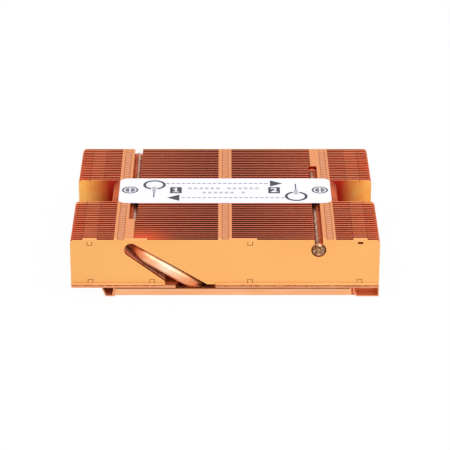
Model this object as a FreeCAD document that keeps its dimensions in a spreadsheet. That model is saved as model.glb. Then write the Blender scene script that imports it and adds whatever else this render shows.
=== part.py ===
"""Passive server heatsink: copper zipper fins on a copper base, two bent heat pipes, two captive spring screws.

Frame: X along the fins, Y across the stack from the front sheet to the rear sheet, Z up.
The origin is under the middle of the part, on the surface that it stands on. Sizes are in millimetres.
"""
import FreeCAD, Part
import math
import os

import Sketcher

doc = FreeCAD.newDocument("server_heatsink")

# ---------------------------------------------------------------------------
# Driving dimensions
# ---------------------------------------------------------------------------
SIZES = [
    ("screw_spacing", 104.14, "between the two screws"),
    ("fin_past_screw", 6.43, "screw axis to the end of the full fins"),
    ("fin_height", 18.5, "fin, from its bottom flange to its top edge"),
    ("fin_sheet", 0.4, "thickness of the fin copper"),
    ("fin_pitch", 1.75, "one fin to the next"),
    ("fins_before_notch", 21, "full fins in front of the end notches"),
    ("fins_in_notch", 11, "short fins between the end notches"),
    ("fins_behind_notch", 19, "full fins behind the end notches"),
    ("window_fins", 11, "fins at each end of the stack that are cut open for a pipe's bend"),
    ("fin_corner", 1.6, "rounding of a full fin's top corners"),
    ("notch_screw_gap", 4.17, "screw head to the short fins between the notches"),
    ("short_fin_corner", 2.8, "rounding of a short fin's top corners"),
    ("side_strip_outer", 41.9, "middle of the fin to the outer edge of a side strip"),
    ("side_strip_inner", 34.6, "middle of the fin to the inner edge of a closed side strip"),
    ("centre_strip_width", 5.2, "strip of flanges along the middle of the top"),
    ("cover_tab_inner", 48.4, "middle to the near edge of the front sheet's end tabs"),
    ("cover_tab_width", 5.4, "front sheet's end tabs"),
    ("cover_strip_inner", 29.4, "middle to the inner edge of the front sheet's left strip"),
    ("cover_centre_reach", 12.1, "middle to the right edge of the front sheet's centre strip"),
    ("lance_width", 2.0, "small square tab cut in the front sheet"),
    ("lance_height", 1.7, "height of that tab"),
    ("lance_cut", 0.2, "width of the cut round that tab"),
    ("lance_edge", 0.5, "sheet left between that tab and the nearer bend"),
    ("pipe_diameter", 5.0, "heat pipe"),
    ("pipe_bend_radius", 8.75, "both bends, on the pipe's axis"),
    ("pipe_high_offset", 35.4, "middle to the run in the fins"),
    ("pipe_high_drop", 4.1, "top of the fins to the axis of that run"),
    ("pipe_low_offset", 8.3, "middle to the run in the base"),
    ("pipe_low_reach", 30.0, "run in the base, past the middle of the stack"),
    ("pipe_bend_inset", 1.9, "front of the stack to the axis of the slanted run"),
    ("pipe_end_chamfer", 0.8, "crimped ends of a pipe"),
    ("pipe_seat_gap", 0.02, "solder film round a pipe in a fin"),
    ("pipe_slot_width", 3.2, "solder slot over a pipe"),
    ("pipe_slot_gap", 0.1, "each side of a pipe in the plate and the block"),
    ("cover_hole_radius", 2.85, "round hole in the end sheets"),
    ("window_radius", 2.7, "round upper end of the slanted window"),
    ("window_upper_angle", 31.5, "slope of its upper edge, degrees"),
    ("window_lower_angle", 37.5, "slope of its lower edge, degrees"),
    ("window_side_offset", 22.8, "middle to its upright side"),
    ("plate_thickness", 1.0, "mounting plate"),
    ("plate_proud", 1.0, "plate past the stack, front and rear"),
    ("plate_corner", 0.8, "corners of the plate"),
    ("pressing_wall", 0.45, "copper round the hollows pressed at the plate's ends"),
    ("pressing_corner", 0.5, "blunted lower corner of a hollow"),
    ("trough_outer", 46.9, "middle to the outer lip of the narrow hollow"),
    ("trough_inner", 41.9, "middle to its inner lip"),
    ("trough_taper", 1.2, "how far its outer wall leans in"),
    ("trough_lean", 1.1, "how far its inner wall thickens towards its foot"),
    ("trough_depth", 10.0, "along Y"),
    ("pocket_block_gap", 0.1, "base block to the near lip of the wide hollow"),
    ("pocket_taper", 1.2, "how far the foot of its inner wall leans"),
    ("pocket_kink", 1.4, "height below which that wall leans"),
    ("pocket_depth", 5.0, "along Y"),
    ("mouth_left", 18.8, "middle to the far side of the plate's cut-out for the bend"),
    ("mouth_right", 3.6, "middle to its near side"),
    ("mouth_gap", 0.4, "plate to the pipe, inside the bend"),
    ("block_height", 3.6, "base block"),
    ("block_screw_gap", 1.4, "base block to the thread of a screw"),
    ("block_corner", 1.0, "upright corners of the block"),
    ("block_front_wall", 0.35, "copper left in front of the bend"),
    ("bend_recess_floor", 0.7, "copper left under the bend"),
    ("thread_diameter", 4.0, "thread of a screw"),
    ("thread_length", 2.9, "threaded end"),
    ("shank_diameter", 2.8, "shank above the thread"),
    ("tapped_hole", 3.3, "hole in the plate"),
    ("head_diameter", 7.0, "screw head"),
    ("head_height", 3.5, "screw head"),
    ("head_chamfer", 0.5, "edge of the head"),
    ("recess_width", 1.1, "arm of the cross recess"),
    ("recess_length", 4.2, "cross recess, end to end"),
    ("recess_depth", 1.8, "cross recess"),
    ("stop_gap", 0.05, "plate to the shoulder of the thread, at rest"),
    ("spring_length", 7.5, "spring, as fitted"),
    ("spring_diameter", 5.6, "spring, outside"),
    ("wire_diameter", 0.7, "spring wire"),
    ("spring_turns", 5.5, "all turns, the closed end turns included"),
    ("spring_steps", 10, "straight stretches that one turn is drawn with"),
    ("spring_sides", 6, "flat sides that the wire is drawn with"),
    ("label_length", 83.4, "along X"),
    ("label_width", 23.6, "along Y"),
    ("label_thickness", 0.12, "film"),
    ("label_corner", 3.0, "corners of the label"),
]

sheet = doc.addObject("Spreadsheet::Sheet", "Sizes")
for row, (alias, value, note) in enumerate(SIZES, start=1):
    sheet.set("A%d" % row, alias)
    sheet.set("B%d" % row, str(value))
    sheet.set("C%d" % row, note)
    sheet.setAlias("B%d" % row, alias)
doc.recompute()


def size(alias):
    """One driving dimension as a number."""
    return float(getattr(sheet, alias))


# Places that several pieces share, as expressions on the sheet.
FIN_HALF = "(Sizes.screw_spacing / 2 + Sizes.fin_past_screw)"
FIN_LENGTH = "(2 * %s)" % FIN_HALF
SHORT_FIN_LENGTH = "(Sizes.screw_spacing - Sizes.head_diameter - 2 * Sizes.notch_screw_gap)"
BLOCK_REACH = "((Sizes.screw_spacing - Sizes.thread_diameter) / 2 - Sizes.block_screw_gap)"
POCKET_INNER = "(%s + Sizes.pocket_block_gap)" % BLOCK_REACH
FIN_COUNT = "(Sizes.fins_before_notch + Sizes.fins_in_notch + Sizes.fins_behind_notch)"
STACK_HALF = "((%s - 1) * Sizes.fin_pitch + Sizes.fin_sheet) / 2" % FIN_COUNT
PLATE_HALF = "(%s + Sizes.plate_proud)" % STACK_HALF
FIN_FOOT = "(Sizes.block_height + Sizes.plate_thickness)"
FIN_TOP = "(%s + Sizes.fin_height)" % FIN_FOOT
NOTCH_MIDDLE = "((Sizes.fins_before_notch - Sizes.fins_behind_notch) * Sizes.fin_pitch / 2)"
PIPE_RADIUS = "(Sizes.pipe_diameter / 2)"
LOW_AXIS = "(%s - %s)" % (FIN_FOOT, PIPE_RADIUS)
RUN_DEPTH = "(%s - Sizes.pipe_bend_inset)" % STACK_HALF


def value_of(expression):
    """What an expression on the sheet gives now, as a number."""
    result = sheet.evalExpression(expression)
    return float(getattr(result, "Value", result))


# ---------------------------------------------------------------------------
# Sketch and feature helpers
# ---------------------------------------------------------------------------
def new_body(name):
    """A PartDesign body whose features are added to it in turn."""
    body = doc.addObject("PartDesign::Body", name)
    body.Label = name
    return body


def sketch_on(body, role, name, lift=None):
    """A sketch on one of the body's own planes, lifted off it by an expression if one is given."""
    plane = [part for part in body.Origin.OriginFeatures if part.Role == role][0]
    sketch = body.newObject("Sketcher::SketchObject", name)
    sketch.AttachmentSupport = [(plane, "")]
    sketch.MapMode = "FlatFace"
    if lift is not None:
        sketch.setExpression(".AttachmentOffset.Base.z", lift)
    doc.recompute()
    return sketch


def pin_point(sketch, curve, end, across, up):
    """Fix one point of a curve at two expressions, measured from the sketch's origin."""
    for kind, axis, expression in (("DistanceX", -2, across), ("DistanceY", -1, up)):
        if expression == "0":
            sketch.addConstraint(Sketcher.Constraint("PointOnObject", curve, end, axis))
            continue
        index = sketch.addConstraint(Sketcher.Constraint(kind, -1, 1, curve, end, value_of(expression)))
        sketch.setExpression("Constraints[%d]" % index, expression)


def outline(sketch, corners):
    """A closed outline of straight sides through corners, each an (across, up) pair of expressions."""
    points = [FreeCAD.Vector(value_of(across), value_of(up), 0) for across, up in corners]
    first = sketch.GeometryCount
    count = len(points)
    for number, point in enumerate(points):
        sketch.addGeometry(Part.LineSegment(point, points[(number + 1) % count]), False)
    for number in range(count):
        following = first + (number + 1) % count
        sketch.addConstraint(Sketcher.Constraint("Coincident", first + number, 2, following, 1))
    for number, (across, up) in enumerate(corners):
        pin_point(sketch, first + number, 1, across, up)


def rectangle(sketch, left, right, low, high):
    """An upright rectangle between four expressions."""
    outline(sketch, [(left, low), (right, low), (right, high), (left, high)])


def circle(sketch, across, up, radius):
    """A circle whose centre and radius are expressions."""
    centre = FreeCAD.Vector(value_of(across), value_of(up), 0)
    shape = Part.Circle(centre, FreeCAD.Vector(0, 0, 1), value_of(radius))
    curve = sketch.addGeometry(shape, False)
    pin_point(sketch, curve, 3, across, up)
    index = sketch.addConstraint(Sketcher.Constraint("Radius", curve, value_of(radius)))
    sketch.setExpression("Constraints[%d]" % index, radius)


def pad(body, sketch, length, backwards=False):
    """Add material on a sketch."""
    feature = body.newObject("PartDesign::Pad", sketch.Name + "_pad")
    feature.Profile = sketch
    feature.setExpression("Length", length)
    feature.Reversed = backwards
    doc.recompute()
    return feature


def cut_through(body, sketch):
    """Cut a sketch through the whole body, both ways."""
    before = body.Shape.Volume
    feature = body.newObject("PartDesign::Pocket", sketch.Name + "_cut")
    feature.Profile = sketch
    feature.Type = "ThroughAll"
    feature.SideType = "Symmetric"
    doc.recompute()
    if body.Shape.Volume >= before:
        raise RuntimeError("nothing was cut by " + feature.Name)
    return feature


def cut_down(body, sketch, depth):
    """Cut a sketch into the body by a depth, against the sketch's own normal."""
    before = body.Shape.Volume
    feature = body.newObject("PartDesign::Pocket", sketch.Name + "_cut")
    feature.Profile = sketch
    feature.setExpression("Length", depth)
    doc.recompute()
    if body.Shape.Volume >= before:
        raise RuntimeError("nothing was cut by " + feature.Name)
    return feature


def edges_at(shape, direction, places):
    """Names of the straight edges along a direction that pass through given places, None for any value."""
    names = []
    for number, edge in enumerate(shape.Edges, start=1):
        if edge.Curve.TypeId != "Part::GeomLine":
            continue
        if abs(abs(edge.tangentAt(edge.FirstParameter).dot(direction)) - 1) > 1e-6:
            continue
        middle = edge.CenterOfMass
        for place in places:
            pairs = zip(place, (middle.x, middle.y, middle.z))
            if all(wanted is None or abs(wanted - found) < 1e-4 for wanted, found in pairs):
                names.append("Edge%d" % number)
                break
    return names


def round_edges(body, radius, direction, places):
    """Fillet the straight edges that pass through the places."""
    names = edges_at(body.Shape, direction, places)
    if len(names) < len(places):
        raise RuntimeError("an edge to round is missing in " + body.Name)
    base = body.Tip
    feature = body.newObject("PartDesign::Fillet", "rounding")
    feature.Base = (base, names)
    feature.setExpression("Radius", radius)
    doc.recompute()
    return feature


ALONG_X = FreeCAD.Vector(1, 0, 0)
ALONG_Y = FreeCAD.Vector(0, 1, 0)
ALONG_Z = FreeCAD.Vector(0, 0, 1)

# ---------------------------------------------------------------------------
# Fins: stamped sheets with flanges bent back to the next fin
# ---------------------------------------------------------------------------
# A fin stands on its XY plane with its front face on its XZ plane. Side -1 is the left half, +1 the right.
PIPE_UP = "(Sizes.fin_height - Sizes.pipe_high_drop)"
ABOVE_FIN = "(Sizes.fin_height + Sizes.fin_sheet)"
BELOW_FIN = "(-Sizes.fin_sheet)"


def times(side, expression):
    """An expression on the left or the right half."""
    return "%d * (%s)" % (side, expression)


def fin_sheet(name, length, corner):
    """The flat sheet of a fin, with rounded top corners."""
    body = new_body(name)
    sketch = sketch_on(body, "XZ_Plane", name + "_sheet")
    rectangle(sketch, "-(%s) / 2" % length, "(%s) / 2" % length, "0", "Sizes.fin_height")
    pad(body, sketch, "Sizes.fin_sheet", backwards=True)
    half = value_of(length) / 2
    top = size("fin_height")
    round_edges(body, corner, ALONG_Y, [(-half, None, top), (half, None, top)])
    return body


def pipe_seat(body, side):
    """Eight-sided seat for the pipe in an inner fin, with the solder slot over it."""
    flat = "(%s + Sizes.pipe_seat_gap)" % PIPE_RADIUS
    short = "(%s * tan(22.5 deg))" % flat
    half_slot = "(Sizes.pipe_slot_width / 2)"
    shoulder = "(%s + %s - %s)" % (flat, short, half_slot)
    steps = [
        ("-" + half_slot, ABOVE_FIN),
        ("-" + half_slot, "%s + %s" % (PIPE_UP, shoulder)),
        ("-" + flat, "%s + %s" % (PIPE_UP, short)),
        ("-" + flat, "%s - %s" % (PIPE_UP, short)),
        ("-" + short, "%s - %s" % (PIPE_UP, flat)),
        (short, "%s - %s" % (PIPE_UP, flat)),
        (flat, "%s - %s" % (PIPE_UP, short)),
        (flat, "%s + %s" % (PIPE_UP, short)),
        (half_slot, "%s + %s" % (PIPE_UP, shoulder)),
        (half_slot, ABOVE_FIN),
    ]
    centre = times(side, "Sizes.pipe_high_offset")
    sketch = sketch_on(body, "XZ_Plane", "%s_seat_%s" % (body.Name, "left" if side < 0 else "right"))
    outline(sketch, [("%s + %s" % (centre, across), up) for across, up in steps])
    cut_through(body, sketch)


def cover_hole(body, side):
    """Round hole for the pipe's end in an end sheet, with the solder slot over it."""
    centre = times(side, "Sizes.pipe_high_offset")
    hole = sketch_on(body, "XZ_Plane", body.Name + "_hole")
    circle(hole, centre, PIPE_UP, "Sizes.cover_hole_radius")
    cut_through(body, hole)
    slot = sketch_on(body, "XZ_Plane", body.Name + "_slot")
    left = "%s - Sizes.pipe_slot_width / 2" % centre
    right = "%s + Sizes.pipe_slot_width / 2" % centre
    rectangle(slot, left, right, PIPE_UP, ABOVE_FIN)
    cut_through(body, slot)


# The upper edge of the slanted window meets the fin's foot here, measured from the middle.
UPPER_SLOPE = "(Sizes.window_upper_angle * 1 deg)"
LOWER_SLOPE = "(Sizes.window_lower_angle * 1 deg)"
UPPER_START = "(Sizes.pipe_high_offset - Sizes.window_radius * sin(%s))" % UPPER_SLOPE
UPPER_RISE = "(%s + Sizes.window_radius * cos(%s))" % (PIPE_UP, UPPER_SLOPE)
WINDOW_FOOT = "(%s - %s / tan(%s))" % (UPPER_START, UPPER_RISE, UPPER_SLOPE)
LOWER_START = "(Sizes.pipe_high_offset + Sizes.window_radius * sin(%s))" % LOWER_SLOPE
LOWER_RISE = "(%s - Sizes.window_radius * cos(%s))" % (PIPE_UP, LOWER_SLOPE)
SIDE_RISE = "(%s - (%s - Sizes.window_side_offset) * tan(%s))" % (LOWER_RISE, LOWER_START, LOWER_SLOPE)


def bend_window(body, side):
    """Slanted window that the pipe's bend lies in: round at the top, open at the fin's foot."""
    overshoot = "(%s - Sizes.fin_sheet / tan(%s))" % (WINDOW_FOOT, UPPER_SLOPE)
    steps = [
        (UPPER_START, UPPER_RISE),
        (overshoot, BELOW_FIN),
        ("Sizes.window_side_offset", BELOW_FIN),
        ("Sizes.window_side_offset", SIDE_RISE),
        (LOWER_START, LOWER_RISE),
    ]
    slant = sketch_on(body, "XZ_Plane", body.Name + "_window")
    outline(slant, [(times(side, across), up) for across, up in steps])
    cut_through(body, slant)
    end = sketch_on(body, "XZ_Plane", body.Name + "_window_end")
    circle(end, times(side, "Sizes.pipe_high_offset"), PIPE_UP, "Sizes.window_radius")
    cut_through(body, end)


def span(near, far, side):
    """A stretch along X on one side, as a (left, right) pair of expressions."""
    if side < 0:
        return times(-1, far), times(-1, near)
    return near, far


SLOT_SIDE = "Sizes.pipe_high_offset + Sizes.pipe_slot_width / 2"
HALF_CENTRE = "Sizes.centre_strip_width / 2"
CENTRE_STRIP = ("-" + HALF_CENTRE, HALF_CENTRE)


def side_strip(side, slotted):
    """Flange of a side strip, which gives way to the solder slot where there is one."""
    near = SLOT_SIDE if slotted else "Sizes.side_strip_inner"
    return span(near, "Sizes.side_strip_outer", side)


def top_flanges(body, stretches):
    """Flanges bent back from the top edge, as far as the next fin."""
    sketch = sketch_on(body, "XY_Plane", body.Name + "_top", lift="Sizes.fin_height")
    for left, right in stretches:
        rectangle(sketch, left, right, "0", "Sizes.fin_pitch")
    pad(body, sketch, "Sizes.fin_sheet", backwards=True)


def foot_flanges(body, stretches):
    """Flanges bent back from the foot, soldered down on the mounting plate."""
    sketch = sketch_on(body, "XY_Plane", body.Name + "_foot")
    for left, right in stretches:
        rectangle(sketch, left, right, "0", "Sizes.fin_pitch")
    pad(body, sketch, "Sizes.fin_sheet")


def foot_beside_window(side):
    """The two stretches of foot flange that a bend window leaves."""
    long_stretch = span("-" + FIN_HALF, WINDOW_FOOT, side)
    short_stretch = span("Sizes.window_side_offset", FIN_HALF, side)
    return [long_stretch, short_stretch]


def cut_lances(body, places):
    """Three-sided cuts round the small square tabs of the front sheet, each (middle, at the top or not)."""
    half = "Sizes.lance_width / 2"
    sketch = sketch_on(body, "XZ_Plane", body.Name + "_lances")
    for middle, at_top in places:
        if at_top:
            near = "(Sizes.fin_height - Sizes.lance_edge)"
            far = "(%s - Sizes.lance_height)" % near
            inner = "(%s + Sizes.lance_cut)" % far
        else:
            near = "Sizes.lance_edge"
            far = "(%s + Sizes.lance_height)" % near
            inner = "(%s - Sizes.lance_cut)" % far
        outline(sketch, [
            ("%s - %s" % (middle, half), near),
            ("%s - %s" % (middle, half), far),
            ("%s + %s" % (middle, half), far),
            ("%s + %s" % (middle, half), near),
            ("%s + %s - Sizes.lance_cut" % (middle, half), near),
            ("%s + %s - Sizes.lance_cut" % (middle, half), inner),
            ("%s - %s + Sizes.lance_cut" % (middle, half), inner),
            ("%s - %s + Sizes.lance_cut" % (middle, half), near),
        ])
    cut_through(body, sketch)


def front_cover():
    """First sheet of the stack, with longer flanges, end tabs and the cuts of its small square tabs."""
    body = fin_sheet("front_cover", FIN_LENGTH, "Sizes.fin_corner")
    cover_hole(body, +1)
    bend_window(body, -1)
    tab_far = "Sizes.cover_tab_inner + Sizes.cover_tab_width"
    top_flanges(body, [
        span("Sizes.cover_tab_inner", tab_far, -1),
        span("Sizes.cover_strip_inner", "Sizes.side_strip_outer", -1),
        ("-" + HALF_CENTRE, "Sizes.cover_centre_reach"),
        side_strip(+1, True),
        span("Sizes.cover_tab_inner", tab_far, +1),
    ])
    foot_flanges(body, foot_beside_window(-1))
    tab_middle = "(Sizes.cover_tab_inner + Sizes.cover_tab_width / 2)"
    centre_tab = "(Sizes.cover_centre_reach - Sizes.centre_strip_width / 2)"
    cut_lances(body, [
        ("-" + tab_middle, True),
        (centre_tab, True),
        ("-" + tab_middle, False),
        ("-(Sizes.cover_strip_inner - Sizes.lance_height)", False),
        (centre_tab, False),
        (tab_middle, False),
    ])
    opening = sketch_on(body, "XZ_Plane", "pushed_in_tab")
    opening_top = "(Sizes.fin_height - Sizes.lance_edge - Sizes.lance_cut)"
    rectangle(opening, tab_middle + " - Sizes.lance_width / 2", tab_middle + " + Sizes.lance_width / 2",
              opening_top + " - Sizes.lance_height / 2", opening_top)
    cut_through(body, opening)
    return body


def window_fin():
    """Fin beside a cover, open on the left for a pipe's bend and slotted on the right."""
    body = fin_sheet("window_fin", FIN_LENGTH, "Sizes.fin_corner")
    pipe_seat(body, +1)
    bend_window(body, -1)
    top_flanges(body, [side_strip(-1, False), CENTRE_STRIP, side_strip(+1, True)])
    foot_flanges(body, foot_beside_window(-1))
    return body


def inner_fin(name, length, corner):
    """Fin that both pipes run through."""
    body = fin_sheet(name, length, corner)
    pipe_seat(body, -1)
    pipe_seat(body, +1)
    top_flanges(body, [side_strip(-1, True), CENTRE_STRIP, side_strip(+1, True)])
    foot_flanges(body, [("-(%s) / 2" % length, "(%s) / 2" % length)])
    return body


def rear_cover():
    """Last sheet of the stack: the front sheet's outline turned half round, with no flanges."""
    body = fin_sheet("rear_cover", FIN_LENGTH, "Sizes.fin_corner")
    cover_hole(body, -1)
    bend_window(body, +1)
    return body


def mirrored(body, name):
    """A body's other hand."""
    copy = doc.addObject("Part::Mirroring", name)
    copy.Source = body
    copy.Normal = ALONG_X
    doc.recompute()
    return copy


front_pattern = front_cover()
window_pattern = window_fin()
window_pattern_rear = mirrored(window_pattern, "window_fin_rear")
full_pattern = inner_fin("full_fin", FIN_LENGTH, "Sizes.fin_corner")
short_pattern = inner_fin("short_fin", SHORT_FIN_LENGTH, "Sizes.short_fin_corner")
rear_pattern = rear_cover()

fins_before_notch = int(size("fins_before_notch"))
fins_in_notch = int(size("fins_in_notch"))
fin_count = fins_before_notch + fins_in_notch + int(size("fins_behind_notch"))
window_fins = int(size("window_fins"))


def pattern_of(place):
    """Which stamping a fin is, by its place in the stack, counted from the front."""
    if place == 0:
        return front_pattern
    if place == fin_count - 1:
        return rear_pattern
    if place < window_fins:
        return window_pattern
    if place >= fin_count - window_fins:
        return window_pattern_rear
    if fins_before_notch <= place < fins_before_notch + fins_in_notch:
        return short_pattern
    return full_pattern


pieces = []

for place in range(fin_count):
    fin = doc.addObject("Part::Feature", "fin_%02d" % (place + 1))
    fin.Label = fin.Name
    fin.Shape = pattern_of(place).Shape.copy()
    fin.setExpression("Placement.Base.y", "%d * Sizes.fin_pitch - %s" % (place, STACK_HALF))
    fin.setExpression("Placement.Base.z", FIN_FOOT)
    pieces.append(fin)
doc.recompute()

# ---------------------------------------------------------------------------
# Mounting plate: copper sheet under the fins, with hollows pressed at its ends
# ---------------------------------------------------------------------------
plate = new_body("mounting_plate")
plate_outline = sketch_on(plate, "XY_Plane", "plate_outline", lift="Sizes.block_height")
rectangle(plate_outline, "-" + FIN_HALF, FIN_HALF, "-" + PLATE_HALF, PLATE_HALF)
pad(plate, plate_outline, "Sizes.plate_thickness")

half_length = value_of(FIN_HALF)
plate_half = value_of(PLATE_HALF)
round_edges(plate, "Sizes.plate_corner", ALONG_Z, [
    (across * half_length, along * plate_half, None) for across in (-1, 1) for along in (-1, 1)
])

# Walls of the two hollows, drawn on the XZ plane and carried back from the plate's front edge.
HOLLOW_TOP = "Sizes.block_height + Sizes.plate_thickness / 2"
FLOOR_TOP = "Sizes.pressing_wall"
TROUGH_FOOT = "-Sizes.trough_outer + Sizes.trough_taper"


def pressed_hollow(name, outer, inner, depth):
    """A thin-walled hollow under the front edge, open at the front: its outside, then its inside."""
    wall_sketch = sketch_on(plate, "XZ_Plane", name + "_wall", lift=PLATE_HALF)
    outline(wall_sketch, outer)
    wall = pad(plate, wall_sketch, depth, backwards=True)
    room_sketch = sketch_on(plate, "XZ_Plane", name + "_room", lift=PLATE_HALF)
    outline(room_sketch, inner)
    room = cut_down(plate, room_sketch, "(%s) - Sizes.pressing_wall" % depth)
    return [wall, room]


trough = pressed_hollow("trough", [
    ("-Sizes.trough_outer", HOLLOW_TOP),
    ("-Sizes.trough_outer", "Sizes.block_height"),
    (TROUGH_FOOT, "Sizes.pressing_corner"),
    (TROUGH_FOOT + " + Sizes.pressing_corner", "0"),
    ("-Sizes.trough_inner", "0"),
    ("-Sizes.trough_inner", HOLLOW_TOP),
], [
    ("-Sizes.trough_outer + Sizes.pressing_wall", "Sizes.block_height"),
    (TROUGH_FOOT + " + Sizes.pressing_wall", FLOOR_TOP + " + Sizes.pressing_corner / 2"),
    (TROUGH_FOOT + " + Sizes.pressing_wall + Sizes.pressing_corner / 2", FLOOR_TOP),
    ("-Sizes.trough_inner - Sizes.trough_lean", FLOOR_TOP),
    ("-Sizes.trough_inner - Sizes.pressing_wall", "Sizes.block_height"),
], "Sizes.trough_depth")

pocket = pressed_hollow("pocket", [
    (POCKET_INNER, HOLLOW_TOP),
    (POCKET_INNER, "Sizes.pocket_kink"),
    (POCKET_INNER + " + Sizes.pocket_taper", "0"),
    (FIN_HALF, "0"),
    (FIN_HALF, HOLLOW_TOP),
], [
    (POCKET_INNER + " + Sizes.pressing_wall", "Sizes.block_height"),
    (POCKET_INNER + " + Sizes.pressing_wall", "Sizes.pocket_kink + Sizes.pressing_wall"),
    (POCKET_INNER + " + Sizes.pocket_taper + Sizes.pressing_wall", FLOOR_TOP),
    (FIN_HALF + " - Sizes.pressing_wall", FLOOR_TOP),
    (FIN_HALF + " - Sizes.pressing_wall", "Sizes.block_height"),
], "Sizes.pocket_depth")

# Cut-out for the pipe: a wide mouth at the front edge for the bend, then a slot along the run in the base.
INNER_BEND_FACE = "(%s - %s - Sizes.mouth_gap)" % (RUN_DEPTH, PIPE_RADIUS)
CHORD = "sqrt(%s^2 - (%s - Sizes.plate_thickness)^2)" % (PIPE_RADIUS, PIPE_RADIUS)
SLOT_HALF = "(%s + Sizes.pipe_slot_gap)" % CHORD
mouth_sketch = sketch_on(plate, "XY_Plane", "pipe_mouth")
outline(mouth_sketch, [
    ("-Sizes.mouth_left", "-%s - Sizes.plate_thickness" % PLATE_HALF),
    ("-Sizes.mouth_right", "-%s - Sizes.plate_thickness" % PLATE_HALF),
    ("-Sizes.mouth_right", "-" + INNER_BEND_FACE),
    ("-Sizes.pipe_low_offset + " + SLOT_HALF, "-%s + Sizes.pipe_low_offset - %s - Sizes.mouth_right"
     % (INNER_BEND_FACE, SLOT_HALF)),
    ("-Sizes.pipe_low_offset + " + SLOT_HALF, "Sizes.pipe_low_reach + Sizes.pipe_slot_gap"),
    ("-Sizes.pipe_low_offset - " + SLOT_HALF, "Sizes.pipe_low_reach + Sizes.pipe_slot_gap"),
    ("-Sizes.pipe_low_offset - " + SLOT_HALF, "-" + INNER_BEND_FACE),
    ("-Sizes.mouth_left", "-" + INNER_BEND_FACE),
])
mouth = cut_through(plate, mouth_sketch)

turned = plate.newObject("PartDesign::PolarPattern", "rear_half")
turned.Originals = trough + pocket + [mouth]
turned.Axis = ([part for part in plate.Origin.OriginFeatures if part.Role == "Z_Axis"][0], [""])
turned.Angle = 360
turned.Occurrences = 2
plate.Tip = turned
doc.recompute()

# The sheet's corner inside each bend is rounded to follow the pipe.
slot_side = size("pipe_low_offset") + value_of(SLOT_HALF)
bend_face = value_of(INNER_BEND_FACE)
INSIDE_BEND = "Sizes.pipe_bend_radius - %s - Sizes.mouth_gap" % PIPE_RADIUS
round_edges(plate, INSIDE_BEND, ALONG_Z, [(-slot_side, -bend_face, None), (slot_side, bend_face, None)])

screw_holes = sketch_on(plate, "XY_Plane", "screw_holes")
for side in (-1, +1):
    circle(screw_holes, times(side, "Sizes.screw_spacing / 2"), NOTCH_MIDDLE, "Sizes.tapped_hole / 2")
cut_through(plate, screw_holes)
pieces.append(plate)

# ---------------------------------------------------------------------------
# Base block: thick copper that meets the processor, with channels for the pipes
# ---------------------------------------------------------------------------
block = new_body("base_block")
block_outline = sketch_on(block, "XY_Plane", "block_outline")
SHORT_REACH = "(Sizes.trough_inner - Sizes.pipe_slot_gap)"
STEP_FACE = "(%s - Sizes.trough_depth - Sizes.pipe_slot_gap)" % PLATE_HALF
outline(block_outline, [
    ("-" + SHORT_REACH, "-(%s)" % STACK_HALF),
    (BLOCK_REACH, "-(%s)" % STACK_HALF),
    (BLOCK_REACH, STEP_FACE),
    (SHORT_REACH, STEP_FACE),
    (SHORT_REACH, STACK_HALF),
    ("-" + BLOCK_REACH, STACK_HALF),
    ("-" + BLOCK_REACH, "-" + STEP_FACE),
    ("-" + SHORT_REACH, "-" + STEP_FACE),
])
pad(block, block_outline, "Sizes.block_height")

short_reach = value_of(SHORT_REACH)
block_reach = value_of(BLOCK_REACH)
stack_half = value_of(STACK_HALF)
round_edges(block, "Sizes.block_corner", ALONG_Z, [
    (-short_reach, -stack_half, None),
    (block_reach, -stack_half, None),
    (short_reach, stack_half, None),
    (-block_reach, stack_half, None),
])

CHANNEL_HALF = "(%s + Sizes.pipe_slot_gap)" % PIPE_RADIUS
BEND_CORNER = "(Sizes.pipe_low_offset + %s)" % CHANNEL_HALF
channel_sketch = sketch_on(block, "XY_Plane", "pipe_channel")
BEND_END = "(%s - Sizes.pipe_bend_radius)" % RUN_DEPTH
rectangle(channel_sketch, "-" + BEND_CORNER, "-Sizes.pipe_low_offset + " + CHANNEL_HALF,
          "-(%s - Sizes.block_front_wall)" % STACK_HALF, "Sizes.pipe_low_reach + Sizes.pipe_slot_gap")
channel = cut_through(block, channel_sketch)

recess_sketch = sketch_on(block, "XY_Plane", "bend_recess", lift="Sizes.block_height")
rectangle(recess_sketch, "-(Sizes.mouth_left - Sizes.plate_thickness)", "-(Sizes.pipe_low_offset)",
          "-(%s - Sizes.block_front_wall)" % STACK_HALF, "-(%s - %s)" % (BEND_END, PIPE_RADIUS))
recess = cut_down(block, recess_sketch, "Sizes.block_height - Sizes.bend_recess_floor")

turned = block.newObject("PartDesign::PolarPattern", "rear_channel")
turned.Originals = [channel, recess]
turned.Axis = ([part for part in block.Origin.OriginFeatures if part.Role == "Z_Axis"][0], [""])
turned.Angle = 360
turned.Occurrences = 2
block.Tip = turned
doc.recompute()
pieces.append(block)


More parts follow.
